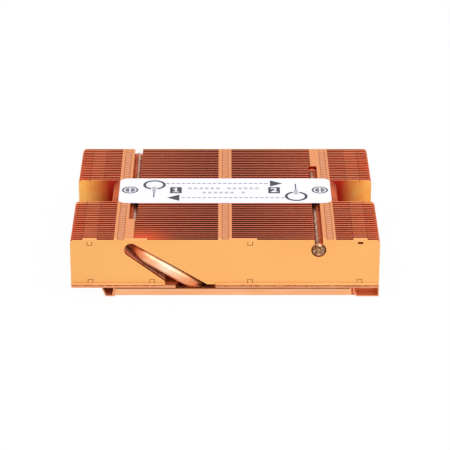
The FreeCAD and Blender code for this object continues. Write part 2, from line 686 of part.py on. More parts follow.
# ---------------------------------------------------------------------------
# Heat pipes: one bent tube, and the same tube turned half round
# ---------------------------------------------------------------------------
def pipe_route():
    """Axis of the left pipe: along the fins, round to the slanted run at the front, round into the base."""
    bend = size("pipe_bend_radius")
    high = value_of(FIN_TOP) - size("pipe_high_drop")
    front = -value_of(RUN_DEPTH)
    start = FreeCAD.Vector(-size("pipe_high_offset"), value_of(STACK_HALF), high)
    upper = FreeCAD.Vector(-size("pipe_high_offset"), front, high)
    lower = FreeCAD.Vector(-size("pipe_low_offset"), front, value_of(LOW_AXIS))
    finish = FreeCAD.Vector(-size("pipe_low_offset"), size("pipe_low_reach"), value_of(LOW_AXIS))
    slant = (lower - upper).normalize()
    back = FreeCAD.Vector(0, 1, 0)
    diagonal = bend * (1 - math.sqrt(0.5))
    edges = []
    leave_high = upper + back * bend
    join_slant = upper + slant * bend
    edges.append(Part.makeLine(start, leave_high))
    edges.append(Part.Arc(leave_high, upper + (back + slant) * diagonal, join_slant).toShape())
    leave_slant = lower - slant * bend
    join_low = lower + back * bend
    edges.append(Part.makeLine(join_slant, leave_slant))
    edges.append(Part.Arc(leave_slant, lower + (back - slant) * diagonal, join_low).toShape())
    edges.append(Part.makeLine(join_low, finish))
    return Part.Wire(edges)


route = doc.addObject("Part::Feature", "pipe_route")
route.Shape = pipe_route()
section = doc.addObject("Part::Circle", "pipe_section")
section.setExpression("Radius", PIPE_RADIUS)
section.setExpression("Placement.Base.x", "-Sizes.pipe_high_offset")
section.setExpression("Placement.Base.y", STACK_HALF)
section.setExpression("Placement.Base.z", "%s - Sizes.pipe_high_drop" % FIN_TOP)
section.Placement.Rotation = FreeCAD.Rotation(ALONG_X, 90)
tube = doc.addObject("Part::Sweep", "bent_tube")
tube.Sections = [section]
tube.Spine = (route, ["Edge%d" % (number + 1) for number in range(len(route.Shape.Edges))])
tube.Solid = True
tube.Frenet = False
doc.recompute()

crimped = doc.addObject("Part::Chamfer", "crimped_tube")
crimped.Base = tube
end_edges = []
for number, edge in enumerate(tube.Shape.Edges, start=1):
    at_end = abs(edge.CenterOfMass.y - stack_half) < 1e-4 or abs(edge.CenterOfMass.y - size("pipe_low_reach")) < 1e-4
    if edge.Curve.TypeId == "Part::GeomCircle" and at_end:
        end_edges.append((number, size("pipe_end_chamfer"), size("pipe_end_chamfer")))
crimped.Edges = end_edges

# The run in the base is milled flush with the underside of the block.
under = doc.addObject("Part::Box", "under_base")
under.setExpression("Length", FIN_LENGTH)
under.setExpression("Width", "2 * " + PLATE_HALF)
under.setExpression("Height", "Sizes.block_height")
under.setExpression("Placement.Base.x", "-" + FIN_HALF)
under.setExpression("Placement.Base.y", "-" + PLATE_HALF)
under.setExpression("Placement.Base.z", "-Sizes.block_height")
left_pipe = doc.addObject("Part::Cut", "left_heat_pipe")
left_pipe.Base = crimped
left_pipe.Tool = under
doc.recompute()
right_pipe = doc.addObject("Part::Feature", "right_heat_pipe")
right_pipe.Shape = left_pipe.Shape.copy()
right_pipe.Placement = FreeCAD.Placement(FreeCAD.Vector(), FreeCAD.Rotation(ALONG_Z, 180))
for pipe in (left_pipe, right_pipe):
    pipe.Label = pipe.Name
    pieces.append(pipe)

# ---------------------------------------------------------------------------
# Captive screws: shouldered screw, held by its thread below the plate, and its spring
# ---------------------------------------------------------------------------
THREAD_TOP = "(Sizes.block_height - Sizes.stop_gap)"
HEAD_FOOT = "(%s + Sizes.spring_length)" % FIN_FOOT
HEAD_TOP = "(%s + Sizes.head_height)" % HEAD_FOOT
screw = new_body("screw")
screw_profile = sketch_on(screw, "XZ_Plane", "screw_profile")
outline(screw_profile, [
    ("0", "%s - Sizes.thread_length" % THREAD_TOP),
    ("Sizes.shank_diameter / 2", "%s - Sizes.thread_length" % THREAD_TOP),
    ("Sizes.thread_diameter / 2", "%s - Sizes.thread_length + (Sizes.thread_diameter - Sizes.shank_diameter) / 2"
     % THREAD_TOP),
    ("Sizes.thread_diameter / 2", THREAD_TOP),
    ("Sizes.shank_diameter / 2", THREAD_TOP),
    ("Sizes.shank_diameter / 2", HEAD_FOOT),
    ("Sizes.head_diameter / 2", HEAD_FOOT),
    ("Sizes.head_diameter / 2", "%s - Sizes.head_chamfer" % HEAD_TOP),
    ("Sizes.head_diameter / 2 - Sizes.head_chamfer", HEAD_TOP),
    ("0", HEAD_TOP),
])
turning = screw.newObject("PartDesign::Revolution", "turned_screw")
turning.Profile = screw_profile
turning.ReferenceAxis = (screw_profile, ["V_Axis"])
turning.Angle = 360
doc.recompute()

cross = sketch_on(screw, "XY_Plane", "cross_recess", lift=HEAD_TOP)
ARM = "Sizes.recess_width / 2"
TIP = "Sizes.recess_length / 2"
outline(cross, [
    ("-" + ARM, "-" + TIP), (ARM, "-" + TIP), (ARM, "-" + ARM), (TIP, "-" + ARM), (TIP, ARM), (ARM, ARM),
    (ARM, TIP), ("-" + ARM, TIP), ("-" + ARM, ARM), ("-" + TIP, ARM), ("-" + TIP, "-" + ARM), ("-" + ARM, "-" + ARM),
])
cut_down(screw, cross, "Sizes.recess_depth")


def spring_shape():
    """Round-wire spring as a ruled loft through many-sided wire sections, with closed end turns."""
    wire = size("wire_diameter") / 2
    sides = int(size("spring_sides"))
    middle = (size("spring_diameter") - size("wire_diameter")) / 2
    turns = size("spring_turns")
    low = value_of(FIN_FOOT) + wire
    travel = size("spring_length") - 2 * wire
    closed = 2 * wire
    count = int(round(turns * size("spring_steps")))
    sections = []
    for step in range(count + 1):
        turn = turns * step / count
        if turn < 1:
            height = closed * turn
        elif turn > turns - 1:
            height = travel - closed * (turns - turn)
        else:
            height = closed + (travel - 2 * closed) * (turn - 1) / (turns - 2)
        angle = 2 * math.pi * turn
        outward = FreeCAD.Vector(math.cos(angle), math.sin(angle), 0)
        centre = outward * middle + FreeCAD.Vector(0, 0, low + height)
        ring = []
        for corner in range(sides):
            around = 2 * math.pi * (corner + 0.5) / sides
            ring.append(centre + outward * (wire * math.cos(around)) + ALONG_Z * (wire * math.sin(around)))
        sections.append(Part.makePolygon(ring + ring[:1]))
    return Part.makeLoft(sections, True, True)


spring_pattern = spring_shape()
for side, hand in ((-1, "left"), (+1, "right")):
    across = times(side, "Sizes.screw_spacing / 2")
    for name, shape in ((hand + "_spring", spring_pattern), (hand + "_screw", screw.Shape)):
        piece = doc.addObject("Part::Feature", name)
        piece.Label = name
        piece.Shape = shape.copy()
        piece.setExpression("Placement.Base.x", across)
        piece.setExpression("Placement.Base.y", NOTCH_MIDDLE)
        pieces.append(piece)

# ---------------------------------------------------------------------------
# Label: film stuck on the top strips, across the notches' middle
# ---------------------------------------------------------------------------
label = new_body("label")
label_outline = sketch_on(label, "XY_Plane", "label_outline", lift=FIN_TOP)
rectangle(label_outline, "-Sizes.label_length / 2", "Sizes.label_length / 2",
          "%s - Sizes.label_width / 2" % NOTCH_MIDDLE, "%s + Sizes.label_width / 2" % NOTCH_MIDDLE)
pad(label, label_outline, "Sizes.label_thickness")
notch_middle = value_of(NOTCH_MIDDLE)
round_edges(label, "Sizes.label_corner", ALONG_Z, [
    (across * size("label_length") / 2, notch_middle + along * size("label_width") / 2, None)
    for across in (-1, 1) for along in (-1, 1)
])
pieces.append(label)

# ---------------------------------------------------------------------------
# Checks and export
# ---------------------------------------------------------------------------
doc.recompute()
for item in doc.Objects:
    if "Invalid" in item.State or "Error" in item.State:
        raise RuntimeError("failed: " + item.Name)
for piece in pieces:
    shape = piece.Shape
    if shape.isNull() or not shape.isValid() or len(shape.Solids) != 1:
        raise RuntimeError("not one valid solid: " + piece.Label)

os.makedirs("parts", exist_ok=True)
for piece in pieces:
    piece.Shape.exportStep(os.path.join("parts", piece.Label + ".step"))
print("pieces written:", len(pieces))
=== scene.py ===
"""A copper server heatsink dressed for a picture.

Piece by piece, the frame's nodes get their finishes and the marks of making are added: sheared edges, zipper
tongues, solder, braze, wound springs, threads and the label's print. Floor, light and camera come last.
"""
import math

import bmesh
import bpy
import numpy as np
from mathutils import Matrix, Vector


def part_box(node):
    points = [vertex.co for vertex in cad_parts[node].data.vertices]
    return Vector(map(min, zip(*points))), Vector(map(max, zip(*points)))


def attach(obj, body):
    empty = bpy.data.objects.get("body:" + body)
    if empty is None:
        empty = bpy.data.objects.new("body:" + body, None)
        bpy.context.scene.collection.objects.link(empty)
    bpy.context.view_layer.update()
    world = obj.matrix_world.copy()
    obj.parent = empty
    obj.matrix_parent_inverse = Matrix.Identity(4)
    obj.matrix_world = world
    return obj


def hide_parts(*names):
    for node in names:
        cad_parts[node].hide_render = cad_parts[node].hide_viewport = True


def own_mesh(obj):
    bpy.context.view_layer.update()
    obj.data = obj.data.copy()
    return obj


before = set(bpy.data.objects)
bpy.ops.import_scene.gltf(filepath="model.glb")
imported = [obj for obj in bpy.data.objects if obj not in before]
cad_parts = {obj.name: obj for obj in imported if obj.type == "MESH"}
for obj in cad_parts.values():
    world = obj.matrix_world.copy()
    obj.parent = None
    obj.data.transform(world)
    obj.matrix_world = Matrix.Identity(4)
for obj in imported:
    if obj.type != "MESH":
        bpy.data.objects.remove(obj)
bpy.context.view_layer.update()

# ---------------------------------------------------------------------------
# Fins: 51 stamped sheets of thin annealed copper, folded over at the strips
# and zipped together. The rolled sheet is bright and a little streaked.
# ---------------------------------------------------------------------------
MM = 0.001


def linear(code):
    """sRGB hex to linear RGBA: v / 12.92 up to 0.04045, else ((v + 0.055) / 1.055) to the power 2.4."""
    value = np.array([int(code[start:start + 2], 16) for start in (1, 3, 5)]) / 255
    low, high = value / 12.92, ((value + 0.055) / 1.055) ** 2.4
    return (*np.where(value <= 0.04045, low, high).tolist(), 1.0)


def add(material, kind, sockets=None, **settings):
    """One node. Settings go on the node; sockets take a value, or another node's output as a link."""
    tree = material.node_tree
    node = tree.nodes.new("ShaderNode" + kind)
    for name, value in settings.items():
        setattr(node, name, value)
    for socket, value in (sockets or {}).items():
        if isinstance(value, bpy.types.NodeSocket):
            tree.links.new(value, node.inputs[socket])
        else:
            node.inputs[socket].default_value = value
    return node


def surface(material):
    """The inputs of a material's own shader."""
    return material.node_tree.nodes["Principled BSDF"].inputs


def finish(name, roughness, metallic):
    """A new material, with how rough and how metallic its surface is."""
    material = bpy.data.materials.new(name)
    material.use_nodes = True
    surface(material)["Roughness"].default_value = roughness
    surface(material)["Metallic"].default_value = metallic
    return material


def streaked(name, light, dark, grain, roughness, metallic=1.0):
    """A metal between two tones, by noise. Grain is the size of its marks along X, Y and Z, in mm."""
    material = finish(name, roughness, metallic)
    place = add(material, "TexCoord").outputs["Object"]
    stretch = [1 / (size * MM) for size in grain]
    spread = add(material, "Mapping", {"Vector": place, "Scale": stretch}).outputs["Vector"]
    noise = add(material, "TexNoise", {"Vector": spread, "Scale": 1.0, "Detail": 3.0}).outputs["Fac"]
    tone = add(material, "MapRange", {"Value": noise, "From Min": 0.3, "From Max": 0.7}).outputs["Result"]
    mix = add(material, "Mix", {"Factor": tone, "A": linear(dark), "B": linear(light)}, data_type="RGBA")
    material.node_tree.links.new(mix.outputs["Result"], surface(material)["Base Color"])
    return material


def tinted(material, color, share):
    """Mixes a colour into the material's own: all of it where the share is 0, none where the share is 1."""
    own = surface(material)["Base Color"].links[0].from_socket
    mix = add(material, "Mix", {"Factor": share, "A": linear(color), "B": own}, data_type="RGBA")
    material.node_tree.links.new(mix.outputs["Result"], surface(material)["Base Color"])


def shaded(material, color, near, far):
    """Tints by the distance |x| from the part's middle, in mm: all at near, none at far, even between them.

    With near above far it is the ends that take the colour.
    """
    place = add(material, "TexCoord").outputs["Object"]
    across = add(material, "SeparateXYZ", {"Vector": place}).outputs["X"]
    away = add(material, "Math", {0: across}, operation="ABSOLUTE").outputs["Value"]
    share = add(material, "MapRange", {"Value": away, "From Min": near * MM, "From Max": far * MM})
    tinted(material, color, share.outputs["Result"])


def glowing(material, color, spot, reach):
    """Tints round a spot, by the distance from it: all at the spot, none past the reach, both in mm."""
    place = add(material, "TexCoord").outputs["Object"]
    centre = [across * MM for across in spot]
    away = add(material, "VectorMath", {0: place, 1: centre}, operation="DISTANCE").outputs["Value"]
    share = add(material, "MapRange", {"Value": away, "From Max": reach * MM},
                interpolation_type="SMOOTHSTEP")
    tinted(material, color, share.outputs["Result"])


def brightened(material, color):
    """Paints a highlight on every face but the sheet's broad ones, which look along Y."""
    facing = add(material, "NewGeometry").outputs["Normal"]
    along = add(material, "SeparateXYZ", {"Vector": facing}).outputs["Y"]
    size = add(material, "Math", {0: along}, operation="ABSOLUTE").outputs["Value"]
    share = add(material, "MapRange", {"Value": size, "From Min": 0.5, "From Max": 0.8})
    tinted(material, color, share.outputs["Result"])


def dress(material, *nodes):
    """Gives nodes of the frame their finish."""
    for node in nodes:
        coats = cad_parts[node].data.materials
        coats.clear()
        coats.append(material)


def corners_of(node):
    """The low and the high corner of a node of the frame, in mm."""
    return [np.array(corner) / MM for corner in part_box(node)]


fin_names = sorted(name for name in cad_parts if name.startswith("fin_"))
fin_half, fin_top = corners_of(fin_names[1])[1][[0, 2]]
full_length = [name for name in fin_names if corners_of(name)[1][0] > fin_half - 1.0]
short_length = [name for name in fin_names if name not in full_length]
before_notch = max(name for name in full_length if name < short_length[0])
behind_notch = min(name for name in full_length if name > short_length[-1])

# Between the fins copper mirrors copper and reddens: the fins' red base is painted shade and reflection, and
# a painted shade darkens it further, deepest in the middle of the stack. Painted light tints the fins where
# light
# gets in: over the bent pipe, by the slot and at the notches. Ends, edges and flanges are tinted bright, a
# painted highlight. Real rolling marks are too fine to show, so here and below marks are drawn from half a
# millimetre up; along Y these are half a fin pitch wide, so that no two fins match.
EDGE_HIGHLIGHT = "#E6935C"
fin_copper = streaked("stamped copper, painted red shade between the fins", "#DC2800", "#A01200", (7.0, 0.9, 3.0),
                      roughness=0.35, metallic=0.3)
surface(fin_copper)["Specular IOR Level"].default_value = 0.1
# Painted shade, deepest in the middle of the stack.
shaded(fin_copper, "#440300", near=8.0, far=56.0)
# Painted light where light gets in: over the bent pipe, by the slot and at the notches.
glowing(fin_copper, "#FF5C10", (-31.0, -43.0, 22.0), 15.0)
glowing(fin_copper, "#FF5820", (-22.0, -24.7, 12.0), 9.0)
for notch in (-45.0, 45.0):
    glowing(fin_copper, "#FF8C58", (notch, 0.0, 19.0), 13.0)
# Painted highlight on the fins' ends, then on their edges and flanges.
shaded(fin_copper, "#FF9858", near=58.5, far=57.9)
brightened(fin_copper, EDGE_HIGHLIGHT)

# The two outer sheets are clean and evenly satin: their marks are 30 mm wide and hardly show.
cover_copper = streaked("stamped copper, clean cover sheet", "#FFBD72", "#FFB76D", (30.0, 30.0, 12.0), 0.45)

# The two sheets that face the notches go from golden at the open end to deep red beside the short fins; the
# deep red is painted shade.
notch_copper = streaked("stamped copper, bright at the notches", "#FFC864", "#FFA03C", (6.0, 6.0, 9.0),
                        roughness=0.5, metallic=0.1)
shaded(notch_copper, "#B41C00", near=46.2, far=56.0)
brightened(notch_copper, EDGE_HIGHLIGHT)

dress(fin_copper, *fin_names)
dress(cover_copper, fin_names[0], fin_names[-1])
dress(notch_copper, before_notch, behind_notch)

# ---------------------------------------------------------------------------
# Fin edges: the shears leave a rounded, bright edge along each fin's top and
# down its corners. At the end tabs it sits further back, between two nicks.
# ---------------------------------------------------------------------------
fin_fronts = {name: corners_of(name)[0][1] for name in fin_names}
fin_pitch = fin_fronts[fin_names[2]] - fin_fronts[fin_names[1]]
stack_front = fin_fronts[fin_names[0]]
stack_rear = corners_of(fin_names[-1])[1][1]
short_half = corners_of(short_length[0])[1][0]

# Measured from the fin's middle: half the centre strip, and where a side strip with its slot and an end tab
# start and end.
CENTRE_STRIP_HALF = 2.6
SIDE_STRIP = (33.8, 41.9)
END_TAB = (48.4, 53.8)
TAB_SET_BACK = 0.15

# The bead is a little wider than the sheet. It bends down a corner between two angles from upright.
SHEET = 0.4
EDGE_WIDTH = 0.42
EDGE_HEIGHT = 0.07
EDGE_SUNK = 0.05
FULL_CORNER = 1.6
SHORT_CORNER = 2.8
CORNER_TURN = (4, 78)

NICK_WIDTH = 0.17
NICK_DEPTH = 0.8
NICK_PROUD = 0.01
NICK_BEFORE = 0.14
NICK_BEHIND = 0.2


def grid_faces(rows, columns):
    """Quads between the neighbours of a rows by columns grid, each row of which closes on itself."""
    row, column = np.meshgrid(np.arange(rows - 1), np.arange(columns), indexing="ij")
    beside = (column + 1) % columns
    here, above = row * columns, (row + 1) * columns
    return np.stack([here + column, here + beside, above + beside, above + column], -1).reshape(-1, 4)


def placed(name, data):
    """A new object of the scene, at the origin."""
    item = bpy.data.objects.new(name, data)
    bpy.context.scene.collection.objects.link(item)
    return item


def rings_piece(name, shells, material, body="heatsink"):
    """A piece of closed shells in mm, given as an array (shell, ring, point, 3).

    Each ring is joined to the next one, point to point, and the first and last ring are capped.
    """
    shells = np.asarray(shells, float)
    count, rings, points = shells.shape[:3]
    start = (np.arange(count) * rings * points)[:, None, None]
    faces = (grid_faces(rings, points)[None] + start).reshape(-1, 4).tolist()
    caps = np.stack([np.arange(points)[::-1], np.arange(points) + (rings - 1) * points])
    faces += (caps[None] + start).reshape(-1, points).tolist()
    mesh = bpy.data.meshes.new(name)
    mesh.from_pydata((shells.reshape(-1, 3) * MM).tolist(), [], faces)
    shape = bmesh.new()
    shape.from_mesh(mesh)
    bmesh.ops.recalc_face_normals(shape, faces=shape.faces)
    shape.to_mesh(mesh)
    shape.free()
    mesh.materials.append(material)
    item = placed(name, mesh)
    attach(item, body)
    return item


def carried(profile, places):
    """A profile of (y, z) points set at each place along X: rings of a straight bar."""
    profile = np.asarray(profile, float)
    return np.stack([np.column_stack([np.full(len(profile), place), profile]) for place in places])


half_turn = np.linspace(0, np.pi, 5)
bead_along = np.concatenate([EDGE_WIDTH / 2 * np.cos(half_turn), [-EDGE_WIDTH / 2, EDGE_WIDTH / 2]])
bead_up = np.concatenate([EDGE_HEIGHT * np.sin(half_turn), [-EDGE_SUNK, -EDGE_SUNK]])


def edge_bead(left, right, front):
    """Half-round bead on a fin's top: y = middle + w / 2 cos a, z = top + h sin a, over a flat sunk foot."""
    return carried(np.column_stack([front + SHEET / 2 + bead_along, fin_top + bead_up]), (left, right))


def corner_bead(side, half, radius, front):
    """The same bead bent round a top corner: x = half - r + (r + up) sin t, z = top - r + (r + up) cos t."""
    turn = np.radians(np.linspace(*CORNER_TURN, 6))[:, None]
    across = half - radius + (radius + bead_up) * np.sin(turn)
    height = fin_top - radius + (radius + bead_up) * np.cos(turn)
    return np.stack([side * across, front + SHEET / 2 + bead_along + 0 * across, height], -1)


def nick(place, front):
    """Dark mark across the edge where a tab's cut starts: a square bar that stands just over the bead."""
    low, high = fin_top - NICK_DEPTH, fin_top + EDGE_HEIGHT + NICK_PROUD
    near, far = front - NICK_BEFORE, front + SHEET + NICK_BEHIND
    profile = [(near, low), (far, low), (far, high), (near, high)]
    return carried(profile, (place - NICK_WIDTH / 2, place + NICK_WIDTH / 2))


beads, corner_beads, nicks = [], [], []
for name in full_length[1:-1] + short_length:
    full = name in full_length
    front = fin_fronts[name]
    half, radius = (fin_half, FULL_CORNER) if full else (short_half, SHORT_CORNER)
    stretches = [(CENTRE_STRIP_HALF, SIDE_STRIP[0], 0.0)]
    if full:
        stretches.append((SIDE_STRIP[1], END_TAB[0], 0.0))
        stretches.append((*END_TAB, TAB_SET_BACK))
        stretches.append((END_TAB[1], half - radius, 0.0))
    for side in (-1, 1):
        beads += [edge_bead(side * near, side * far, front + back) for near, far, back in stretches]
        corner_beads.append(corner_bead(side, half, radius, front))
        nicks += [nick(side * place, front) for place in END_TAB if full]

# A fresh shear cut is the brightest copper on the stack; towards the middle it is painted redder, a painted
# reflection of the red fins it mirrors.
edge_copper = streaked("sheared copper edge", "#FFAC80", "#EE8450", (16.0, 1.2, 3.0), 0.35)
shaded(edge_copper, "#EE7E60", near=5.0, far=58.0)
rings_piece("fin_edges", beads, edge_copper)
rings_piece("fin_corner_edges", corner_beads, edge_copper)

# In a nick the cut is too narrow for light to reach its foot, so it reads as a dull, dark line.
nick_copper = streaked("shadowed copper in a nick", "#B04018", "#8C2C10", (2.0, 2.0, 2.0), 0.6, 0.2)
rings_piece("fin_nicks", nicks, nick_copper)

# ---------------------------------------------------------------------------
# Window rims: punching the slanted windows leaves a burr round each fin's opening. Its
# pale colour is a painted highlight, seen as a row of pale lines beside the bent pipe.
# ---------------------------------------------------------------------------
# A window is a slanted slot with a round end about the pipe. Its lower edge slopes down to its far side.
PIPE_RADIUS = 2.5
WINDOW_FINS = 11
WINDOW_RADIUS = 2.7
WINDOW_SLOPE = math.radians(37.5)
WINDOW_START = math.radians(120)
WINDOW_SIDE = 22.8
BURR = 0.15
BURR_PROUD = 0.03

pipe_low, pipe_high = corners_of("left_heat_pipe")
pipe_x = -pipe_low[0] - PIPE_RADIUS
pipe_z = pipe_high[2] - PIPE_RADIUS


def window_rim(side, front):
    """Square bar round a window's end, at r cos a and r sin a, then straight on down its lower edge."""
    turn = np.linspace(WINDOW_START, WINDOW_SLOPE - math.pi / 2, 14)[:, None]
    reach = np.array([WINDOW_RADIUS - BURR, WINDOW_RADIUS + BURR])
    out, up = reach * np.cos(turn), reach * np.sin(turn)
    run = out[-1] + pipe_x - WINDOW_SIDE
    out = np.concatenate([out, [out[-1] - run]])
    up = np.concatenate([up, [up[-1] - run * math.tan(WINDOW_SLOPE)]])
    near, far = front - BURR_PROUD, front + SHEET + BURR_PROUD
    depth = np.repeat([[near, near, far, far]], len(out), 0)
    around = [0, 1, 1, 0]
    return np.stack([side * (pipe_x + out[:, around]), depth, pipe_z + up[:, around]], -1)


# The burr is painted pale and matt, a painted highlight on the fins' cut edges against the red depth of the
# window.
burr_highlight = streaked("punched copper burr, painted highlight", "#FFB48C", "#FF9068", (3.0, 3.0, 3.0), 0.5, 0.1)
rims = [window_rim(-1, fin_fronts[name]) for name in fin_names[1:WINDOW_FINS]]
rims += [window_rim(+1, fin_fronts[name]) for name in fin_names[-WINDOW_FINS:-1]]
rings_piece("window_rims", rims, burr_highlight)

# ---------------------------------------------------------------------------
# Zipper tongues: each fin's flange ends in a tongue that locks into the next
# fin. A row of them runs along each top strip, with a fine seam round each.
# ---------------------------------------------------------------------------
STRIP_MIDDLES = (-39.4, 0.1, 39.7)
SEAM_WIDTH = 2.6
SEAM_FROM_FRONT = 0.3
SEAM_FROM_REAR = 0.5
SEAM_SUNK = 0.05
SEAM_PROUD = 0.02
SEAM_CUT = 0.04
TONGUE_WIDTH = 2.2
TONGUE_GAP = 0.35
TONGUE_SUNK = 0.03
TONGUE_PROUD = 0.08
TONGUE_CUT = 0.12


def slab(left, right, near, far, low, high, cut):
    """Rings of a flat plate with cut corners. Its top is drawn in by half a cut, over a quarter of one."""
    def ring(inset, height):
        x0, x1, y0, y1 = left + inset, right - inset, near + inset, far - inset
        across = [x0 + cut, x1 - cut, x1, x1, x1 - cut, x0 + cut, x0, x0]
        along = [y0, y0, y0 + cut, y1 - cut, y1, y1, y1 - cut, y0 + cut]
        return np.column_stack([across, along, np.full(8, height)])
    return np.stack([ring(0, low), ring(0, high - cut / 4), ring(cut / 2, high)])


def seam(middle):
    """One long dark ground under a row of tongues, which shows as a line round each of them."""
    return slab(middle - SEAM_WIDTH / 2, middle + SEAM_WIDTH / 2, stack_front + SEAM_FROM_FRONT,
                stack_rear - SEAM_FROM_REAR, fin_top - SEAM_SUNK, fin_top + SEAM_PROUD, SEAM_CUT)


def tongue(middle, front):
    """A tongue from a fin's front to the next fin, less the gap at its root."""
    return slab(middle - TONGUE_WIDTH / 2, middle + TONGUE_WIDTH / 2, front + TONGUE_GAP, front + fin_pitch,
                fin_top - TONGUE_SUNK, fin_top + TONGUE_PROUD, TONGUE_CUT)


# Air and flux sit in the seams and tarnish them brown.
seam_copper = streaked("tarnished copper in a seam", "#B06C40", "#8A4A28", (2.0, 2.0, 2.0), 0.5)
rings_piece("zipper_seams", [seam(middle) for middle in STRIP_MIDDLES], seam_copper)

# The zipper tool presses the tongues flat: pale, smooth copper, each with a tone of its own.
strip_copper = streaked("flattened strip copper", "#F4A878", "#E89868", (1.5, 1.75, 1.0), 0.4)
tongues = [tongue(middle, fin_fronts[name]) for middle in STRIP_MIDDLES for name in fin_names[:-1]]
rings_piece("zipper_tongues", tongues, strip_copper)

# ---------------------------------------------------------------------------
# Heat pipes: drawn copper tube, bent and crimped shut. Solder fed in through
# the slots lies on the runs in the fins and closes the tube's end.
# ---------------------------------------------------------------------------
# Degrees round the pipe from its top: the slot's half width, where solder ends, and the gap to the painted
# red shade.
SLOT_TURN = 38.0
SOLDER_TURN = 2.0
RED_SHADE_GAP = 1.0

SOLDER_SUNK = 0.1
SOLDER_THIN = 0.05
SOLDER_SWELL = 0.2
BLIND_END = 0.1
OPEN_END = 0.6

# The crimped end's outline, from its rim in: how far out from the tube's middle, and how far past the sheet.
CRIMP_DROP = 0.1
CRIMP_OUTLINE = ((2.35, -0.25), (2.3, 0.1), (2.0, 0.3), (1.6, 0.38), (1.3, 0.2),
                 (1.1, 0.12), (0.85, 0.2), (0.7, 0.42), (0.5, 0.55), (0.02, 0.6))

# Drawn tube is satin. On the bend, painted shade and highlights stand for what it mirrors: dark under the
# fins, by the plate and at its start, red at the window's rim, orange by its lower end and nearly white where
# it bulges out into the light.
tube_copper = streaked("drawn copper tube, painted shade and highlights at the bend", "#FFC498", "#F8A878", (5.0, 5.0, 3.0),
                       roughness=0.42, metallic=0.85)
shaded(tube_copper, "#5A1606", near=8.5, far=14.0)
glowing(tube_copper, "#E0662C", (-35.0, -43.0, 20.0), 9.0)
glowing(tube_copper, "#4A1404", (-38.0, -43.0, 18.5), 5.5)
glowing(tube_copper, "#E8905C", (-12.0, -45.0, 4.0), 9.0)
glowing(tube_copper, "#FFE0C4", (-22.0, -45.0, 12.5), 7.0)
dress(tube_copper, "left_heat_pipe", "right_heat_pipe")

# Solder is silvery, warmed by the copper round it. Beside it, in the slot, the tube's orange-red is painted
# shade, reddened as copper mirrors copper; the same painted shade lies in the bend, the window and the
# wedges.
solder_grey = streaked("tin solder, dull and flowed", "#D8B09A", "#A87458", (1.2, 5.0, 2.0), 0.3)
painted_red_shade = streaked("copper, painted red shade in recesses", "#E86E3C", "#B84822", (3.0, 5.0, 2.0), 0.4, 0.3)


def solder_run(side, near, far, start, end):
    """Film on the pipe under a slot, between two angles from the pipe's top.

    r = R + thin + swell s^4 + ripple, with s from -1 to 1 across the film. The ripple is a wave of 5.7 mm
    and one of 2.2 mm along Y, both leaning with s, and is cut off below so that the film never tears.
    """
    along = np.linspace(near, far, 100)[:, None]
    share = np.linspace(-1, 1, 13)[None, :]
    swell = SOLDER_THIN + SOLDER_SWELL * share ** 4
    ripple = 0.05 * np.sin(1.1 * along + share * side) + 0.035 * np.sin(2.9 * along - 3 * share + 1.3)
    outside = PIPE_RADIUS + swell + np.maximum(ripple, -0.03)
    inside = np.full_like(outside, PIPE_RADIUS - SOLDER_SUNK)[:, ::-1]
    radius = np.concatenate([outside, inside], 1)
    turn = np.radians((start + end) / 2 + (end - start) / 2 * share)
    angle = np.concatenate([turn, turn[:, ::-1]], 1) + 0 * along
    across = side * (pipe_x - radius * np.sin(angle))
    return np.stack([across, along + 0 * angle, pipe_z + radius * np.cos(angle)], -1)


slot_start = fin_fronts[fin_names[WINDOW_FINS]]
left_run = (-1, slot_start + BLIND_END, stack_rear - OPEN_END)
right_run = (+1, stack_front + OPEN_END, -slot_start - BLIND_END)
solder = [solder_run(*run, -SOLDER_TURN, SLOT_TURN) for run in (left_run, right_run)]
# Beside the solder, the rest of the pipe under the slot is painted red shade.
flux = [solder_run(*run, -SLOT_TURN, -SOLDER_TURN - RED_SHADE_GAP) for run in (left_run, right_run)]
rings_piece("slot_solder", solder, solder_grey)
rings_piece("slot_red_shade", flux, painted_red_shade)


def full_turn(steps):
    """Angles of a full turn in even steps, less the last one, which would meet the first."""
    return np.linspace(0, 2 * np.pi, steps, endpoint=False)


def crimped_end(side, face):
    """A tube's closed end: the outline of (radius, rise) turned round Y, with a groove and a solder bead."""
    radius, rise = np.array(CRIMP_OUTLINE).T[:, :, None]
    around = full_turn(32)
    across = -side * pipe_x + radius * np.cos(around)
    height = pipe_z - CRIMP_DROP + radius * np.sin(around)
    return np.stack([across, face + side * rise + 0 * across, height], -1)


# Flux boils out of the crimp and dries on it in brown, glassy spots.
end_brown = streaked("crimped copper browned by flux", "#D0A07C", "#5C3418", (1.2, 1.0, 0.8), 0.22)
crimps = [crimped_end(-1, stack_front), crimped_end(+1, stack_rear)]
rings_piece("pipe_crimps", crimps, end_brown)

# ---------------------------------------------------------------------------
# Mounting plate and base block: the plate is pressed copper sheet, the block
# milled copper. A red fill of painted shade fills the room where the pipe bends down to them.
# ---------------------------------------------------------------------------
plate_front = corners_of("mounting_plate")[0][1]
plate_top = corners_of(fin_names[0])[0][2]
block_low, block_high = corners_of("base_block")
block_front = block_low[1]
pipe_low_x = pipe_high[0] - PIPE_RADIUS

# The bend's fill lies beside the low pipe and the film in the window; both reach equally far back.
FILL_DEPTH = 11.0
FILL_CUT = 0.1
BEND_SIDE = 0.2
BEND_HEIGHTS = (0.4, 1.2)
BEND_SET_BACK = 0.4
FILM_RIGHT = -18.9
FILM_INSIDE = 0.1
FILM_SET_BACK = 0.5
FILM_SUNK = 0.02
FILM_PROUD = 0.05

